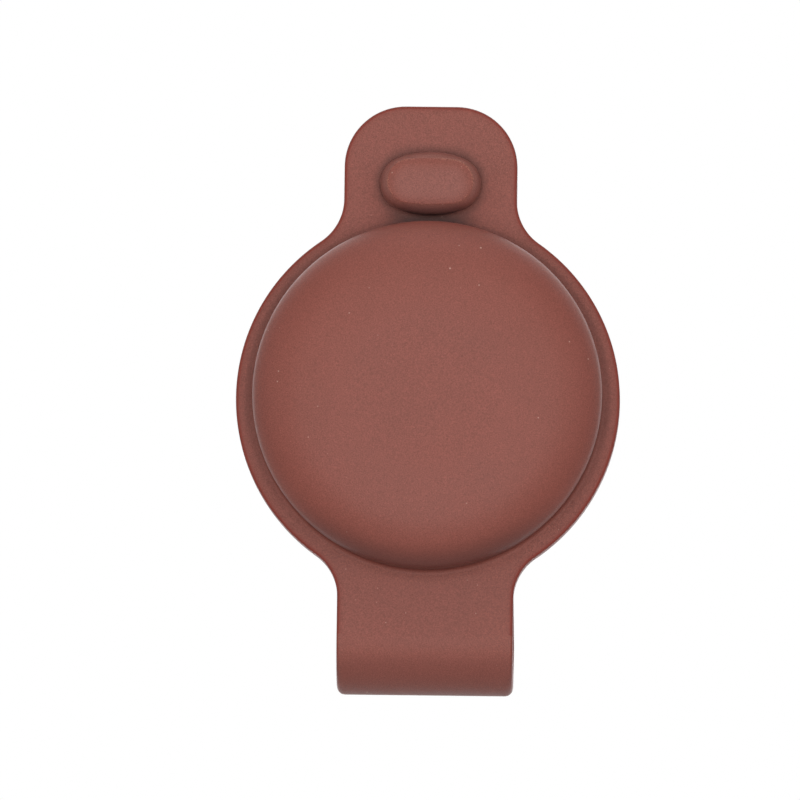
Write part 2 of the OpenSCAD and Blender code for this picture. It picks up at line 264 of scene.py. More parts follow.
def cut_and_cap(bm, place, outward):
    """Cuts everything off past a plane and closes the cut, with a crisp edge round it."""
    cut = bmesh.ops.bisect_plane(bm, geom=bm.verts[:] + bm.edges[:] + bm.faces[:], dist=1e-6,
                                 plane_co=place, plane_no=outward, clear_outer=True)
    edges = [g for g in cut["geom_cut"] if isinstance(g, bmesh.types.BMEdge)]
    crisp_cap(bm, edges, outward)


def crisp_cap(bm, edges, outward):
    """Closes a ring of edges with one flat face that leaves its neighbours' shading alone."""
    face_on(bm, edges, outward)
    for e in edges:
        e.smooth = False


def to_disc(bm):
    """From the drawing frame to the pocket's axis: drawn up is Z, drawn height comes forward."""
    place = Matrix.Translation((0, BACK_Y, DISC_Z)) @ Matrix.Rotation(math.radians(90), 4, "X")
    bmesh.ops.transform(bm, matrix=place, verts=bm.verts[:])


def piece(name, bm, finish, **painted):
    """Makes the object. Each painted value, such as thin or the painted sheen's tone, is a function of a
    vertex's place.
    """
    bmesh.ops.remove_doubles(bm, verts=bm.verts[:], dist=1e-4)
    bmesh.ops.recalc_face_normals(bm, faces=bm.faces[:])
    for label, value_at in painted.items():
        layer = bm.verts.layers.float.new(label)
        for v in bm.verts:
            v[layer] = value_at(v.co)
    bmesh.ops.scale(bm, vec=(MM, MM, MM), verts=bm.verts[:])
    for f in bm.faces:
        f.smooth = True
    mesh = bpy.data.meshes.new(name)
    bm.to_mesh(mesh)
    bm.free()
    made = bpy.data.objects.new(name, mesh)
    bpy.context.scene.collection.objects.link(made)
    mesh.materials.append(finish)
    return made


# The moulding


def hollow_of(half, radius):
    """Centre of the hollow between a straight side and the round plate, and the angle it turns through."""
    across = half + radius
    up = math.sqrt((PLATE_R + radius) ** 2 - across ** 2)
    return across, up, math.degrees(math.atan2(up, across))


def draw_holder(bm, low):
    """Outline of plate, tab and lower strap, drawn on its right side and mirrored."""
    tab_x, tab_y, tab_turn = hollow_of(TAB_HALF, TAB_HOLLOW)
    strap_x, strap_y, strap_turn = hollow_of(STRAP_HALF, STRAP_HOLLOW)
    pen = point(bm, 0, TAB_TOP, EDGE)
    pen = line(bm, pen, (TAB_HALF - TAB_CORNER, TAB_TOP, EDGE))
    pen = arc(bm, pen, (TAB_HALF - TAB_CORNER, TAB_TOP - TAB_CORNER, EDGE), -90, 24)
    pen = line(bm, pen, (TAB_HALF, tab_y, EDGE))
    pen = arc(bm, pen, (tab_x, tab_y, EDGE), tab_turn, 16)
    pen = arc(bm, pen, (0, 0, EDGE), -tab_turn - strap_turn, 60)
    pen = arc(bm, pen, (strap_x, -strap_y, EDGE), strap_turn, 16)
    pen = line(bm, pen, (STRAP_HALF, -low, EDGE))
    line(bm, pen, (0, -low, EDGE))
    bmesh.ops.mirror(bm, geom=bm.verts[:] + bm.edges[:], matrix=Matrix(), merge_dist=1e-4, axis="X")
    return bm.edges[:]


def draw_face(bm):
    """Half section of the pocket's outside, from its middle to its foot on the plate."""
    pen = point(bm, 0, 0, FACE_H)
    for r in (0.3, 2.0, 5.0, FACE_FLAT):
        pen = line(bm, pen, (r, 0, FACE_H))
    before = 0.0
    for radius, after in FACE_BENDS:
        turn = math.radians(before)
        centre = (pen.co.x - radius * math.sin(turn), 0, pen.co.z - radius * math.cos(turn))
        pen = arc(bm, pen, centre, after - before, 12, Y_AXIS)
        before = after
    side_x, side_h = pen.co.x, pen.co.z
    slope = math.tan(LEAN)
    foot_x = side_x - (side_h - SHEET - FOOT_R) * slope + FOOT_R / math.cos(LEAN)
    for t in (0.08, 0.4):
        down = t * (side_h - SHEET)
        pen = line(bm, pen, (side_x - down * slope, 0, side_h - down))
    pen = line(bm, pen, (foot_x - FOOT_R * math.cos(LEAN), 0, SHEET + FOOT_R + FOOT_R * math.sin(LEAN)))
    pen = arc(bm, pen, (foot_x, 0, SHEET + FOOT_R), -90 - math.degrees(LEAN), 10, Y_AXIS)
    line(bm, pen, (foot_x + SUPPORT, 0, SHEET))


def draw_room(bm):
    """Half section of the pocket's inside, from the back face round the mouth's lip to the middle."""
    inner_r = DOME_R - WALL
    pen = point(bm, MOUTH_R + MOUTH_EDGE + SUPPORT, 0, 0)
    pen = line(bm, pen, (MOUTH_R + MOUTH_EDGE, 0, 0))
    pen = arc(bm, pen, (MOUTH_R + MOUTH_EDGE, 0, MOUTH_EDGE), 90, 6, Y_AXIS)
    pen = line(bm, pen, (MOUTH_R, 0, LIP_H))
    pen = line(bm, pen, (inner_r - LIP_CURVE, 0, LIP_TOP))
    pen = arc(bm, pen, (inner_r - LIP_CURVE, 0, LIP_TOP + LIP_CURVE), -90, 10, Y_AXIS)
    pen = line(bm, pen, (inner_r, 0, SHOULDER[1]))
    pen = arc(bm, pen, (SHOULDER[0], 0, SHOULDER[1]), FALL_ANGLE - 90, 12, Y_AXIS)
    pen = arc(bm, pen, (ROOM_FLAT, 0, FACE_H - FALL_R), -FALL_ANGLE, 6, Y_AXIS)
    line(bm, pen, (0, 0, FACE_H - WALL))


def make_front():
    """Plate, tab and lower strap with the pocket, its lip and the buttonhole, as one closed shell."""
    bm = bmesh.new()
    back, front = slab(bm, draw_holder(bm, FOLD_DROP + SPARE), SHEET)
    bmesh.ops.delete(bm, geom=[back, front], context="FACES_ONLY")
    for draw in (draw_face, draw_room):
        before = set(bm.edges)
        draw(bm)
        turned(bm, [e for e in bm.edges if e not in before])
    # The buttonhole's wall, with rounded edges
    hole = None
    for out, h in ((0.12, 0.0), (0.03, 0.03), (0.0, 0.12),
                   (0.0, SHEET - 0.12), (0.03, SHEET - 0.03), (0.12, SHEET)):
        hole = oval_ring(bm, hole, *grown(HOLE, out), SLOT_FULL, h)
    bmesh.ops.remove_doubles(bm, verts=bm.verts[:], dist=1e-4)
    # The front and the back face, round everything that was drawn on them
    for level, up in ((SHEET, 1), (0.0, -1)):
        open_edges = [e for e in bm.edges if len(e.link_faces) == 1
                      and all(abs(v.co.z - level) < 1e-4 for v in e.verts)]
        bmesh.ops.triangle_fill(bm, use_beauty=True, use_dissolve=False, edges=open_edges, normal=(0, 0, up))
    cut_and_cap(bm, (0, -FOLD_DROP, 0), (0, -1, 0))
    to_disc(bm)

    # Painted sheen: the pocket turns redder towards its rim, where less of the front's sheen falls on the slope
    def flush(co):
        r = math.hypot(co.x, co.z - DISC_Z)
        return between((r - SHEEN_FADE_FROM) / SHEEN_FADE_OVER, 0.0, 1.0) if BACK_Y - co.y > SHEET + 0.1 else 0.0

    return piece("holder_front", bm, silicone, flush=flush)


def make_fold(number):
    """One link of the fold, swept round its middle, with outer corners that round off under the fold."""
    bm = bmesh.new()
    x, r_in, r_out = STRAP_HALF - EDGE, FOLD_IN + EDGE, FOLD_OUT - EDGE
    pen = first = point(bm, x, -FOLD_IN, FOLD_Z)
    for cx, cy, far in ((x, -r_in, (STRAP_HALF, -r_out)), (x, -r_out, (-x, -FOLD_OUT)),
                        (-x, -r_out, (-STRAP_HALF, -r_in)), (-x, -r_in, None)):
        pen = arc(bm, pen, (cx, cy, FOLD_Z), -90, 4)
        if far:
            pen = line(bm, pen, (far[0], far[1], FOLD_Z))
    bmesh.ops.contextual_create(bm, geom=[pen, first])
    section = bm.edges[:]
    around = Matrix.Translation((0, 0, FOLD_Z)) @ Matrix.Rotation(math.radians(LINK * (number - 1)), 4, "X") \
        @ Matrix.Translation((0, 0, -FOLD_Z))
    bmesh.ops.transform(bm, matrix=around, verts=bm.verts[:])
    made = bmesh.ops.spin(bm, geom=bm.verts[:] + section, cent=(0, 0, FOLD_Z), axis=(1, 0, 0), dvec=(0, 0, 0),
                          angle=math.radians(LINK), steps=LINK_STEPS, use_merge=False, use_normal_flip=False,
                          use_duplicate=False)
    last = [g for g in made["geom_last"] if isinstance(g, bmesh.types.BMEdge)]
    # The outer corners' rounding grows from EDGE at both ends of the fold to FOLD_CORNER at its bottom
    for v in bm.verts:
        r = math.hypot(v.co.y, v.co.z - FOLD_Z)
        if r > r_out - 1e-3 and abs(v.co.x) > x - 1e-3:
            under = max(FOLD_Z - v.co.z, 0) / r
            corner = EDGE + (FOLD_CORNER - EDGE) * under * under
            side = math.copysign(STRAP_HALF - corner + (abs(v.co.x) - x) / EDGE * corner, v.co.x)
            reach = FOLD_OUT - corner + (r - r_out) / EDGE * corner
            v.co = (side, v.co.y * reach / r, FOLD_Z + (v.co.z - FOLD_Z) * reach / r)
    crisp_cap(bm, section, (0, 0, 1))
    crisp_cap(bm, last, (0, 0, 1))

    def thin(co):
        return between((abs(co.x) - x) / EDGE, 0.0, 1.0)

    # Painted sheen: redder towards the bottom of the fold, where less sheen falls on the downward slope
    def flush(co):
        return between((FOLD_Z - co.z) / FOLD_OUT * 0.5, 0.0, 1.0)

    return piece(f"fold_link_{number}", bm, silicone, thin=thin, flush=flush)


def strap_front(z):
    """How far back the strap's front face lies at a height."""
    t = between((z - FOLD_Z) / (MEET_Z - FOLD_Z), 0, 1)
    return BACK_Y + SEAT_GAP + (2 * FOLD_IN - SEAT_GAP) * (1 - t * t * (3 - 2 * t))


def make_strap():
    """The strap behind the plate: a flat sheet with a round end, curved to meet the tab."""
    bm = bmesh.new()
    low = FOLD_Z - SPARE
    end_z = END_TOP - END_HALF
    slope = (STRAP_HALF - END_HALF) / (end_z - FOLD_Z)
    pen = point(bm, 0, END_TOP, EDGE)
    pen = arc(bm, pen, (0, end_z, EDGE), -90, 32)
    pen = line(bm, pen, (STRAP_HALF + slope * (FOLD_Z - low), low, EDGE))
    line(bm, pen, (0, low, EDGE))
    bmesh.ops.mirror(bm, geom=bm.verts[:] + bm.edges[:], matrix=Matrix(), merge_dist=1e-4, axis="X")
    slab(bm, bm.edges[:], SHEET)
    cut_and_cap(bm, (0, FOLD_Z, 0), (0, -1, 0))
    for i in range(1, STRAP_STEPS):
        at = FOLD_Z + (MEET_Z - FOLD_Z) * i / STRAP_STEPS
        bmesh.ops.bisect_plane(bm, geom=bm.verts[:] + bm.edges[:] + bm.faces[:], dist=1e-5, plane_co=(0, at, 0),
                               plane_no=Y_AXIS)
    for v in bm.verts:
        v.co = (v.co.x, strap_front(v.co.y) + SHEET - v.co.z, v.co.y)
    return piece("back_strap_sheet", bm, silicone)


def make_stud():
    """The button: an oval neck from the strap through the hole, and a head whose flanks lean in to its face."""
    bm = bmesh.new()
    # The neck, which flares a little under the head
    ovals = [(*NECK, SLOT_FULL, -SEAT_GAP), (*NECK, SLOT_FULL, HEAD_FOOT - 0.2)]
    for out, h in ((0.03, 0.1), (0.1, 0.03), (0.2, 0.0)):
        ovals.append((*grown(NECK, out), SLOT_FULL, HEAD_FOOT - h))
    # The rounded foot of the head
    for degrees in range(0, 91, 15):
        a = math.radians(degrees)
        ovals.append((*grown(HEAD, -HEAD_FOOT_R * (1 - math.sin(a))), HEAD_FULL,
                      HEAD_FOOT + HEAD_FOOT_R * (1 - math.cos(a))))
    # The flank, upright at its foot and leaning over towards the face
    rim = HEAD_TOP - FACE_CROWN
    low, high = HEAD_FOOT + HEAD_FOOT_R + 0.05, rim - 0.03
    for i in range(1, 15):
        a = FLANK_LEAN * i / 14
        inward = (1 - math.cos(a)) / (1 - math.cos(FLANK_LEAN))
        size = [foot + (face - foot) * inward for foot, face in zip(HEAD, HEAD_FACE)]
        ovals.append((*size, HEAD_FULL + (FACE_FULL - HEAD_FULL) * inward,
                      low + (high - low) * math.sin(a) / math.sin(FLANK_LEAN)))
    # The crisp rim of the face, and its crown
    for inward, rise in ((0.02, 0.0), (0.06, 0.025), (0.2, 0.08), (0.45, 0.15), (0.85, 0.215), (1.35, 0.26),
                         (1.9, FACE_CROWN)):
        ovals.append((*grown(HEAD_FACE, -inward), FACE_FULL, rim + rise))
    ring = first = oval_ring(bm, None, *ovals[0])
    for size in ovals[1:]:
        ring = oval_ring(bm, ring, *size)
    face_on(bm, ring_edges(bm, first), (0, 0, -1))
    face_on(bm, ring_edges(bm, ring), (0, 0, 1))
    bmesh.ops.translate(bm, vec=(0, -HEAD_LOW, 0), verts=[v for v in bm.verts if v.co.z > HEAD_FOOT - 0.01])
    to_disc(bm)

    def flush(co):
        """Powdery on the flank. On the face, a painted sheen: redder at its rim and greyer in its middle."""
        if BACK_Y - co.y < rim - 0.01:
            return -1.0
        past_end = max(abs(co.x) - (HEAD_FACE[0] - HEAD_FACE[1]) / 2, 0)
        from_rim = HEAD_FACE[1] / 2 - math.hypot(past_end, co.z - DISC_Z - STUD_UP + HEAD_LOW)
        return 0.7 - 1.5 * between(from_rim / 1.1, 0, 1)

    # A painted highlight along the rim of the face
    def worn(co):
        return 1.0 if rim - 0.035 < BACK_Y - co.y < rim + 0.03 else 0.0

    return piece("stud", bm, silicone, flush=flush, worn=worn)


def make_cover():
    """The steel cover, turned from its section: flat crown, gentle fall, rolled edge and skirt."""
    bm = bmesh.new()
    run = COVER_R - COVER_BEND - COVER_FLAT
    fall_r = (run ** 2 + COVER_FALL ** 2) / (2 * COVER_FALL)
    fall = math.asin(run / fall_r)
    pen = point(bm, 0, 0, COVER_H)
    pen = line(bm, pen, (0.4, 0, COVER_H))
    pen = line(bm, pen, (COVER_FLAT, 0, COVER_H))
    pen = arc(bm, pen, (COVER_FLAT, 0, COVER_H + fall_r), -math.degrees(fall), 12, Y_AXIS)
    bend = COVER_BEND / (1 + math.sin(fall))
    centre = (pen.co.x - bend * math.sin(fall), 0, pen.co.z + bend * math.cos(fall))
    pen = arc(bm, pen, centre, math.degrees(fall) - 90, 10, Y_AXIS)
    low = COVER_H + COVER_FALL
    outer_x = pen.co.x
    inner_x = outer_x - COVER_T
    for x, h in ((outer_x, COVER_SKIRT - 0.1), (outer_x - 0.1, COVER_SKIRT), (inner_x + 0.05, COVER_SKIRT),
                 (inner_x, COVER_SKIRT - 0.05), (inner_x, low + COVER_BEND),
                 (COVER_R - COVER_BEND - 0.1, low + COVER_T - 0.02), (COVER_FLAT, COVER_H + COVER_T),
                 (0, COVER_H + COVER_T)):
        pen = line(bm, pen, (x, 0, h))
    turned(bm, bm.edges[:])
    to_disc(bm)
    return piece("steel_cover", bm, polished_steel)


# Finishes


def paint(r, g, b):
    """A screen colour as the shader's linear values."""
    shares = [c / 255 for c in (r, g, b)]
    return tuple(c / 12.92 if c <= 0.04 else ((c + 0.055) / 1.055) ** 2.4 for c in shares) + (1.0,)


def new_group(name, inputs, outputs):
    """An empty node group with named sockets, its input node and its output node."""
    group = bpy.data.node_groups.new(name, "ShaderNodeTree")
    for label, kind, value in inputs:
        made = group.interface.new_socket(label, in_out="INPUT", socket_type=kind)
        if value is not None:
            made.default_value = value
    for label, kind in outputs:
        group.interface.new_socket(label, in_out="OUTPUT", socket_type=kind)
    return group, group.nodes.new("NodeGroupInput"), group.nodes.new("NodeGroupOutput")


def add(tree, kind, links=None, **values):
    """Adds a node, sets its properties, and links or fills its input sockets."""
    made = tree.nodes.new(kind)
    for key, value in values.items():
        setattr(made, key, value)
    for socket, value in (links or {}).items():
        if isinstance(value, bpy.types.NodeSocket):
            tree.links.new(value, made.inputs[socket])
        else:
            made.inputs[socket].default_value = value
    return made


def maths(tree, value, *steps):
    """Runs a value through maths steps, each (operation, second value), and returns the last socket."""
    for operation, second in steps:
        links = {0: value} if second is None else {0: value, 1: second}
        value = add(tree, "ShaderNodeMath", links, operation=operation).outputs[0]
    return value


def scaled(tree, value, low, high, first=0.0, last=1.0):
    """Stretches a value that runs from first to last so that it runs from low to high."""
    return add(tree, "ShaderNodeMapRange", {
        "Value": value, "From Min": first, "From Max": last, "To Min": low, "To Max": high}).outputs["Result"]


def ramp(tree, value, first, last):
    """A mask that rises smoothly from 0 to 1 as a value goes from first to last."""
    return add(tree, "ShaderNodeMapRange", {"Value": value, "From Min": first, "From Max": last},
               interpolation_type="SMOOTHSTEP").outputs["Result"]


def make_grain():
    """Fine moulded grain: a height for the bump and a slow blotchy mask."""
    group, given, put = new_group("moulded_grain", [
        ("Place", "NodeSocketVector", None), ("Grain per metre", "NodeSocketFloat", 6000.0),
        ("Blotch per metre", "NodeSocketFloat", 120.0)],
        [("Height", "NodeSocketFloat"), ("Blotch", "NodeSocketFloat")])
    place = given.outputs["Place"]
    fine = add(group, "ShaderNodeTexNoise", {
        "Vector": place, "Scale": given.outputs["Grain per metre"], "Detail": 3.0, "Roughness": 0.6})
    slow = add(group, "ShaderNodeTexNoise", {
        "Vector": place, "Scale": given.outputs["Blotch per metre"], "Detail": 4.0, "Roughness": 0.55})
    spread = add(group, "ShaderNodeMapRange", {"Value": slow.outputs["Fac"], "From Min": 0.3, "From Max": 0.7})
    group.links.new(fine.outputs["Fac"], put.inputs["Height"])
    group.links.new(spread.outputs["Result"], put.inputs["Blotch"])
    return group


def make_specks():
    """Sparse specks: one in some cells, each of its own size."""
    group, given, put = new_group("specks", [
        ("Place", "NodeSocketVector", None), ("Cells per metre", "NodeSocketFloat", 500.0),
        ("Size", "NodeSocketFloat", 0.05), ("Share", "NodeSocketFloat", 0.2)], [("Mask", "NodeSocketFloat")])
    cells = add(group, "ShaderNodeTexVoronoi", {
        "Vector": given.outputs["Place"], "Scale": given.outputs["Cells per metre"], "Randomness": 1.0})
    parts = add(group, "ShaderNodeSeparateColor", {"Color": cells.outputs["Color"]})
    picked = maths(group, parts.outputs["Red"], ("LESS_THAN", given.outputs["Share"]))
    own = maths(group, parts.outputs["Green"], ("MULTIPLY", given.outputs["Size"]))
    inside = add(group, "ShaderNodeMapRange", {
        "Value": cells.outputs["Distance"], "From Min": own, "From Max": 0.0}).outputs["Result"]
    group.links.new(maths(group, inside, ("MULTIPLY", picked)), put.inputs["Mask"])
    return group


def new_finish(name, colour, rough, metal=0.0):
    """A material with its shader, and the object's own coordinates."""
    made = bpy.data.materials.new(name)
    made.use_nodes = True
    tree = made.node_tree
    shader = tree.nodes["Principled BSDF"]
    shader.inputs["Base Color"].default_value = colour
    shader.inputs["Roughness"].default_value = rough
    shader.inputs["Metallic"].default_value = metal
    made.diffuse_color = colour
    return made, tree, shader, tree.nodes.new("ShaderNodeTexCoord").outputs["Object"]


def placed(tree, group, links):
    """Puts a shared effect into a material with its own values."""
    return add(tree, "ShaderNodeGroup", links, node_tree=group)


def blended(tree, mask, a, b):
    """Mixes two colours by a mask and returns the mixed colour's socket."""
    mix = tree.nodes.new("ShaderNodeMix")
    mix.data_type = "RGBA"
    for socket, value in ((mix.inputs[0], mask), (mix.inputs[6], a), (mix.inputs[7], b)):
        if isinstance(value, bpy.types.NodeSocket):
            tree.links.new(value, socket)
        else:
            socket.default_value = value
    return mix.outputs[2]


def bumped(tree, shader, height, strength, distance):
    """Gives a shader a bump from a height."""
    bump = add(tree, "ShaderNodeBump", {"Height": height, "Strength": strength, "Distance": distance})
    tree.links.new(bump.outputs["Normal"], shader.inputs["Normal"])


def from_axis(tree, place):
    """Distance from the pocket's axis."""
    moved = add(tree, "ShaderNodeVectorMath", {0: place, 1: (0, 0, -DISC_Z * MM)}, operation="ADD")
    flat = add(tree, "ShaderNodeVectorMath", {0: moved.outputs["Vector"], 1: (1, 0, 1)}, operation="MULTIPLY")
    return add(tree, "ShaderNodeVectorMath", {0: flat.outputs["Vector"]}, operation="LENGTH").outputs["Value"]


def make_painted_shade():
    """Painted shade: round the pocket and the stud, under them, between them, and low on the fold."""
    labels = ("Pocket", "Margin", "Under", "Fold", "Stud underside", "Stud", "Slot")
    group, given, put = new_group(
        "painted_shade", [("Place", "NodeSocketVector", None), ("Reach", "NodeSocketFloat", 0.001)],
        [(label, "NodeSocketFloat") for label in labels])
    axes = add(group, "ShaderNodeSeparateXYZ", {"Vector": given.outputs["Place"]})
    x, y, z = (axes.outputs[i] for i in range(3))
    radius = from_axis(group, given.outputs["Place"])
    stud_z = DISC_Z + STUD_UP - HEAD_LOW
    at_front = maths(group, y, ("LESS_THAN", (BACK_Y - SHEET + 0.3) * MM))

    def near(distance, reach):
        """A mask that is 1 at no distance and fades out at the reach."""
        return ramp(group, maths(group, distance, ("DIVIDE", reach)), 1.0, 0.0)

    # Distance from the ring where the pocket's wall meets the plate, stretched across the plate and shortened
    # along the wall, for the painted shade at the pocket's foot
    foot_r = DOME_R - (SHOULDER[1] - SHEET) * math.tan(LEAN)
    off_ring = maths(group, radius, ("SUBTRACT", (foot_r - 0.05) * MM), ("MULTIPLY", 1.7), ("POWER", 2.0))
    off_plate = maths(group, y, ("ADD", (SHEET - BACK_Y + 0.15) * MM), ("MULTIPLY", 0.7), ("POWER", 2.0))
    ring = maths(group, off_ring, ("ADD", off_plate), ("SQRT", None))
    # Painted shade on the plate's margin round the foot, all but under the pocket
    margin = maths(group, ramp(group, radius, 18.5 * MM, 18.0 * MM),
                   ("MULTIPLY", scaled(group, z, 0.0, 1.0, 3 * MM, 16 * MM)), ("MULTIPLY", at_front))
    # Painted shade on the underside of the pocket's shoulder, and on the lower half of the fold
    under = maths(group, ramp(group, radius, 14.9 * MM, 17.4 * MM),
                  ("MULTIPLY", ramp(group, z, 7.5 * MM, 1.0 * MM)))
    fold = ramp(group, z, (FOLD_Z - 1.6) * MM, (FOLD_Z - 3.0) * MM)
    # Painted shade on the underside of the stud's flank
    under_stud = maths(group, ramp(group, z, (stud_z - 1.9) * MM, (stud_z - 3.1) * MM),
                       ("MULTIPLY", maths(group, z, ("GREATER_THAN", (stud_z - 3.4) * MM))),
                       ("MULTIPLY", maths(group, y, ("LESS_THAN", (BACK_Y - HEAD_FOOT) * MM))))
    # Distance from the oval foot of the head, beside it and in front of it, for the painted shade round the
    # stud
    past = maths(group, x, ("ABSOLUTE", None), ("SUBTRACT", (HEAD[0] - HEAD[1]) / 2 * MM), ("MAXIMUM", 0.0),
                 ("POWER", 2.0))
    up = maths(group, z, ("SUBTRACT", stud_z * MM), ("POWER", 2.0))
    beside = maths(group, past, ("ADD", up), ("SQRT", None), ("SUBTRACT", (HEAD[1] / 2 - 0.1) * MM),
                   ("MAXIMUM", 0.0))
    before = maths(group, y, ("ADD", (HEAD_FOOT - BACK_Y + 0.1) * MM), ("MINIMUM", 0.0), ("MULTIPLY", 1.4),
                   ("POWER", 2.0))
    foot = maths(group, beside, ("POWER", 2.0), ("ADD", before), ("SQRT", None))
    round_stud = maths(group, near(foot, 1.2 * MM), ("MULTIPLY", at_front))
    # Painted shade in the slot between the stud and the pocket
    off_pocket = maths(group, radius, ("SUBTRACT", DOME_R * MM))
    deep = maths(group, y, ("GREATER_THAN", (BACK_Y - HEAD_FOOT - 1.2) * MM))
    slot = maths(group, near(beside, 2.2 * MM), ("MULTIPLY", near(off_pocket, 2.0 * MM)), ("MULTIPLY", deep),
                 ("MULTIPLY", at_front))
    masks = (near(ring, given.outputs["Reach"]), margin, under, fold, under_stud, round_stud, slot)
    for label, mask in zip(labels, masks):
        group.links.new(mask, put.inputs[label])
    return group


def make_silicone():
    """Matte red-brown silicone: fine grain, powder, a painted sheen, thin edges, a painted rim highlight,
    painted shade, dust and pits.
    """
    made, tree, shader, place = new_finish("silicone", paint(132, 75, 65), 0.46)
    grain = placed(tree, grain_group, {"Place": place, "Grain per metre": 9000.0, "Blotch per metre": 160.0})
    colour = blended(tree, grain.outputs["Blotch"], paint(128, 73, 63), paint(133, 76, 66))
    # Painted sheen: the tone turns redder above 0, where less sheen falls, and greyer below 0, as powder on the
    # stud's flank and as painted sheen in the middle of its face
    tone = add(tree, "ShaderNodeAttribute", attribute_name="flush").outputs["Fac"]
    colour = blended(tree, maths(tree, tone, ("MAXIMUM", 0.0)), colour, paint(130, 71, 61))
    powder_and_sheen = maths(tree, tone, ("MULTIPLY", -1.0), ("MAXIMUM", 0.0))
    colour = blended(tree, powder_and_sheen, colour, paint(134, 82, 73))
    mottle = scaled(tree, grain.outputs["Height"], 0.6, 1.4, 0.2, 0.8)
    mottled = add(tree, "ShaderNodeVectorMath", {0: colour, "Scale": mottle}, operation="SCALE")
    colour = mottled.outputs["Vector"]
    # Redder thin edges, and a painted highlight, pale in patches, along the rim of the stud's face
    thin = add(tree, "ShaderNodeAttribute", attribute_name="thin").outputs["Fac"]
    colour = blended(tree, scaled(tree, thin, 0.0, 0.85), colour, paint(119, 45, 34))
    patches = add(tree, "ShaderNodeTexNoise", {"Vector": place, "Scale": 420.0, "Detail": 2.0})
    highlight_mask = maths(tree, add(tree, "ShaderNodeAttribute", attribute_name="worn").outputs["Fac"],
                   ("MULTIPLY", scaled(tree, grain.outputs["Height"], 0.0, 0.6, 0.48, 0.66)),
                   ("MULTIPLY", scaled(tree, patches.outputs["Fac"], 0.1, 1.0, 0.45, 0.62)))
    colour = blended(tree, highlight_mask, colour, paint(196, 140, 118))
    # Painted shade round the pocket's foot and the stud, under them, between them, and low on the fold
    shade = placed(tree, painted_shade_group, {"Place": place, "Reach": 0.0008})
    depth = add(tree, "ShaderNodeSeparateXYZ", {"Vector": place}).outputs["Y"]
    wall_y = (BACK_Y - SHEET - FOOT_R) * MM
    on_plate = maths(tree, depth, ("GREATER_THAN", wall_y), ("MULTIPLY", shade.outputs["Margin"]))
    on_wall = maths(tree, depth, ("LESS_THAN", wall_y), ("MULTIPLY", shade.outputs["Under"]))
    for mask, share, tint in (
            (on_plate, 0.28, paint(66, 38, 34)), (on_wall, 0.54, paint(64, 36, 33)),
            (shade.outputs["Fold"], 0.17, paint(90, 58, 56)), (shade.outputs["Pocket"], 0.4, paint(60, 36, 32)),
            (shade.outputs["Stud underside"], 0.6, paint(78, 56, 56)),
            (shade.outputs["Stud"], 0.34, paint(52, 40, 37)), (shade.outputs["Slot"], 0.85, paint(30, 24, 23))):
        colour = blended(tree, scaled(tree, mask, 0.0, share), colour, tint)
    # Dust and pits
    for cells, size, share, tint in ((1000.0, 0.13, 0.3, paint(206, 176, 160)),
                                     (600.0, 0.1, 0.12, paint(86, 44, 38))):
        specks = placed(tree, specks_group, {
            "Place": place, "Cells per metre": cells, "Size": size, "Share": share})
        colour = blended(tree, scaled(tree, specks.outputs["Mask"], 0.0, 0.8), colour, tint)
    tree.links.new(colour, shader.inputs["Base Color"])
    tree.links.new(scaled(tree, grain.outputs["Blotch"], 0.44, 0.48), shader.inputs["Roughness"])
    bumped(tree, shader, grain.outputs["Height"], 0.5, 0.00006)
    shader.inputs["Specular IOR Level"].default_value = 0.2
    return made


def make_plain(name, colour, rough, grain, vary, strength=0.3):
    """A moulded or stamped finish with grain, blotches and faint specks."""
    made, tree, shader, place = new_finish(name, colour, rough)
    fx = placed(tree, grain_group, {"Place": place, "Grain per metre": grain, "Blotch per metre": 200.0})
    darker = tuple(c * (1 - 2 * vary) for c in colour[:3]) + (1.0,)
    body = blended(tree, fx.outputs["Blotch"], darker, colour)
    dust = placed(tree, specks_group, {"Place": place, "Cells per metre": 600.0, "Size": 0.08, "Share": 0.15})
    faint = tuple(c * 0.75 for c in colour[:3]) + (1.0,)
    specked = blended(tree, scaled(tree, dust.outputs["Mask"], 0.0, 0.5), body, faint)
    tree.links.new(specked, shader.inputs["Base Color"])
    tree.links.new(scaled(tree, fx.outputs["Blotch"], rough - 0.05, rough + 0.05), shader.inputs["Roughness"])
    bumped(tree, shader, fx.outputs["Height"], strength, 0.00003)
    return made


def rings(tree, radius, spacing):
    """A wave that rises and falls once in each ring, from 0 to 1."""
    wave = maths(tree, radius, ("MULTIPLY", 2 * math.pi / spacing), ("SINE", None))
    return scaled(tree, wave, 0.0, 1.0, -1.0, 1.0)


def make_metal(name, colour, rough, spacing, depth):
    """Sheet metal with the faint rings of a turned or rolled finish, and small smudges."""
    made, tree, shader, place = new_finish(name, colour, rough, 1.0)
    fx = placed(tree, grain_group, {"Place": place, "Grain per metre": 9000.0, "Blotch per metre": 140.0})
    smudged = tuple(c * 0.93 for c in colour[:3]) + (1.0,)
    tree.links.new(blended(tree, fx.outputs["Blotch"], smudged, colour), shader.inputs["Base Color"])
    tree.links.new(scaled(tree, fx.outputs["Blotch"], rough * 0.85, rough * 1.2), shader.inputs["Roughness"])
    bumped(tree, shader, rings(tree, from_axis(tree, place), spacing), 0.25, depth)
    return made


def make_windings():
    """Enamelled copper wire, wound in rings."""
    made, tree, shader, place = new_finish("copper_windings", paint(190, 118, 74), 0.32, 1.0)
    wave = rings(tree, from_axis(tree, place), 0.00012)
    tree.links.new(blended(tree, wave, paint(120, 62, 36), paint(205, 132, 84)), shader.inputs["Base Color"])
    bumped(tree, shader, wave, 0.6, 0.00005)
    return made


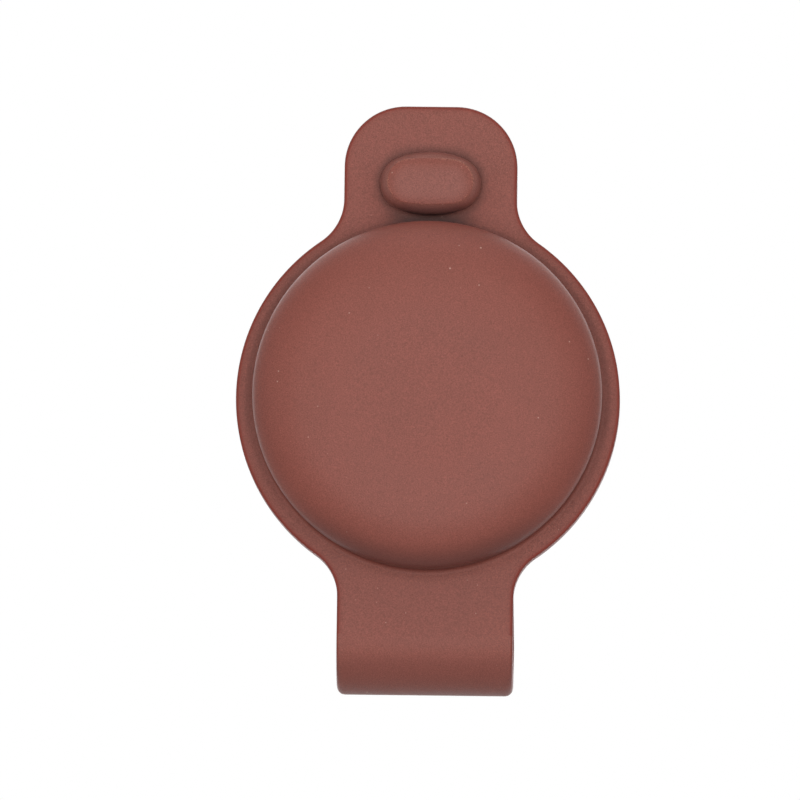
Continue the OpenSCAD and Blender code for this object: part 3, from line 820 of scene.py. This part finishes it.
def make_board():
    """Solder resist over copper tracks, with bare round pads."""
    made, tree, shader, place = new_finish("board", paint(24, 62, 48), 0.35)
    laid = add(tree, "ShaderNodeMapping", {"Vector": place, "Rotation": (math.radians(90), 0, 0)})
    tracks = add(tree, "ShaderNodeTexBrick", {
        "Vector": laid.outputs["Vector"], "Scale": 900.0, "Color1": (0, 0, 0, 1), "Color2": (0.1, 0.1, 0.1, 1),
        "Mortar": (1, 1, 1, 1), "Mortar Size": 0.03})
    mask = add(tree, "ShaderNodeSeparateColor", {"Color": tracks.outputs["Color"]}).outputs["Red"]
    traced = blended(tree, mask, paint(22, 58, 45), paint(44, 98, 70))
    pads = placed(tree, specks_group, {"Place": place, "Cells per metre": 520.0, "Size": 0.3, "Share": 0.35})
    crisp = maths(tree, pads.outputs["Mask"], ("GREATER_THAN", 0.25))
    tree.links.new(blended(tree, crisp, traced, paint(196, 160, 96)), shader.inputs["Base Color"])
    bumped(tree, shader, mask, 0.4, 0.00003)
    return made


def make_foam():
    """Closed-cell foam with open pores on its cut faces."""
    made, tree, shader, place = new_finish("foam", paint(84, 84, 86), 0.9)
    pores = add(tree, "ShaderNodeTexVoronoi", {"Vector": place, "Scale": 3500.0})
    colour = blended(tree, pores.outputs["Distance"], paint(50, 50, 52), paint(104, 104, 106))
    tree.links.new(colour, shader.inputs["Base Color"])
    bumped(tree, shader, pores.outputs["Distance"], 0.8, 0.0001)
    return made


grain_group = make_grain()
specks_group = make_specks()
painted_shade_group = make_painted_shade()
silicone = make_silicone()
white_plastic = make_plain("white_plastic", paint(236, 236, 233), 0.3, grain=3000.0, vary=0.02, strength=0.12)
polished_steel = make_metal("polished_steel", paint(218, 218, 220), 0.16, 0.0006, 0.000004)
steel = make_metal("plated_steel", paint(196, 196, 199), 0.3, 0.00025, 0.00001)
cell_metal = make_metal("cell_metal", paint(206, 205, 203), 0.26, 0.0004, 0.00001)
contact_metal = make_metal("contact_metal", paint(206, 166, 104), 0.28, 0.00018, 0.000008)
windings = make_windings()
board = make_board()
chips = make_plain("chip_epoxy", paint(38, 38, 41), 0.55, grain=9000.0, vary=0.15)
seal = make_plain("seal_rubber", paint(45, 45, 47), 0.7, grain=5000.0, vary=0.12)
foam = make_foam()

# The pieces, and what they ride on
front = make_front()
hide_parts("front_body")
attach(front, "front")

# The fold is four links here, one for each joint, and three nodes in the frame
stands_for = ["fold_front", "fold_bottom", "fold_back", "fold_back"]
for number in range(1, 5):
    link = make_fold(number)
    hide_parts(stands_for[number - 1])
    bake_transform(link)

strap = make_strap()
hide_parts("back_strap")
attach(strap, "strap")

stud = make_stud()
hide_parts("closure_stud")
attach(stud, "strap")

cover = make_cover()
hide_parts("battery_cover")
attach(cover, "cover")

kept_finishes = {
    "tag_shell": white_plastic, "antenna_carrier": white_plastic, "speaker_coil": windings,
    "speaker_magnet": steel, "circuit_board": board, "board_parts": chips, "battery_contacts": contact_metal,
    "battery_tray": white_plastic, "bay_seal": seal, "cell_can": steel, "cell_gasket": seal,
    "cell_cap": cell_metal, "lock_ring": white_plastic, "cover_pad": foam}
for name, finish in kept_finishes.items():
    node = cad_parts[name]
    if not node.material_slots:
        node.data.materials.append(finish)
    for held in node.material_slots:
        held.material = finish


# Stage, light and camera


def seen_rays(tree):
    """1 for rays from the camera, also by reflection or through something clear, and 0 for the rest."""
    path = tree.nodes.new("ShaderNodeLightPath")
    return maths(tree, path.outputs["Is Camera Ray"], ("MAXIMUM", path.outputs["Is Glossy Ray"]),
                 ("MAXIMUM", path.outputs["Is Transmission Ray"]))


def make_floor():
    """A wide floor, mid-grey to the lamps. To the camera it glows, and turns white far off like the room."""
    bm = bmesh.new()
    bmesh.ops.create_grid(bm, x_segments=1, y_segments=1, size=FLOOR_HALF)
    bmesh.ops.translate(bm, vec=(0, 0, -FLOOR_DROP), verts=bm.verts[:])
    finish, tree, shader, place = new_finish("pale_floor", (0.5, 0.5, 0.5, 1), 0.8)
    off = add(tree, "ShaderNodeVectorMath", {0: place}, operation="LENGTH").outputs["Value"]
    glow = maths(tree, seen_rays(tree), ("MULTIPLY", scaled(tree, off, 0.7, 1.0, 0.4, 2.5)))
    tree.links.new(glow, shader.inputs["Emission Strength"])
    shader.inputs["Emission Color"].default_value = (1, 1, 1, 1)
    shader.inputs["Specular IOR Level"].default_value = 0.0
    return piece("floor", bm, finish)


floor = make_floor()

world = bpy.data.worlds.new("white_room")
bpy.context.scene.world = world
world.use_nodes = True
room = world.node_tree
room.nodes["Background"].inputs["Color"].default_value = (1, 1, 1, 1)
room.links.new(scaled(room, seen_rays(room), 0.05, 1.0), room.nodes["Background"].inputs["Strength"])


def lamp(name, turn, rise, size, watts):
    """A square soft lamp a metre away, at an angle round and above the holder, that looks at the pocket."""
    aim = Vector((0, -0.004, DISC_Z * MM))
    turn, rise = math.radians(turn), math.radians(rise)
    way = Vector((math.sin(turn) * math.cos(rise), -math.cos(turn) * math.cos(rise), math.sin(rise)))
    data = bpy.data.lights.new(name, "AREA")
    data.shape = "SQUARE"
    data.size = size
    data.energy = watts
    made = bpy.data.objects.new(name, data)
    made.location = aim + way
    made.rotation_mode = "QUATERNION"
    made.rotation_quaternion = (-way).to_track_quat("-Z", "Y")
    bpy.context.scene.collection.objects.link(made)


# Degrees round from the front and up, side in metres, watts
lamp("front_soft", 0, -7, 0.8, 7.55)
lamp("top_soft", 0, 65, 0.7, 3.2)
lamp("left_soft", -60, 8, 0.7, 1.8)
lamp("right_soft", 52, 8, 0.7, 2.0)
lamp("back_soft", 180, 30, 1.6, 10.5)

# The camera looks up a little, turned and rolled as the photo's was. The target is the picture's middle. FAR is
# its distance from the camera, and ACROSS is the picture's width there, in metres.
TILT = math.radians(7.0)
TURN = math.radians(1.2)
ROLL = math.radians(0.8)
FAR = 2.0
ACROSS = 0.080
look = Vector((-math.sin(TURN) * math.cos(TILT), math.cos(TURN) * math.cos(TILT), math.sin(TILT)))
target = Vector((-0.0028, -0.0044, 0.016985))
eye = bpy.data.cameras.new("photo_camera")
eye.sensor_width = 36.0
eye.lens = 36.0 * FAR / ACROSS
eye.clip_end = 20.0
camera = bpy.data.objects.new("photo_camera", eye)
camera.location = target - look * FAR
camera.rotation_mode = "QUATERNION"
camera.rotation_quaternion = Matrix.Rotation(-ROLL, 3, look).to_quaternion() @ look.to_track_quat("-Z", "Y")
bpy.context.scene.collection.objects.link(camera)
bpy.context.scene.camera = camera
bpy.context.scene.view_settings.view_transform = "Standard"
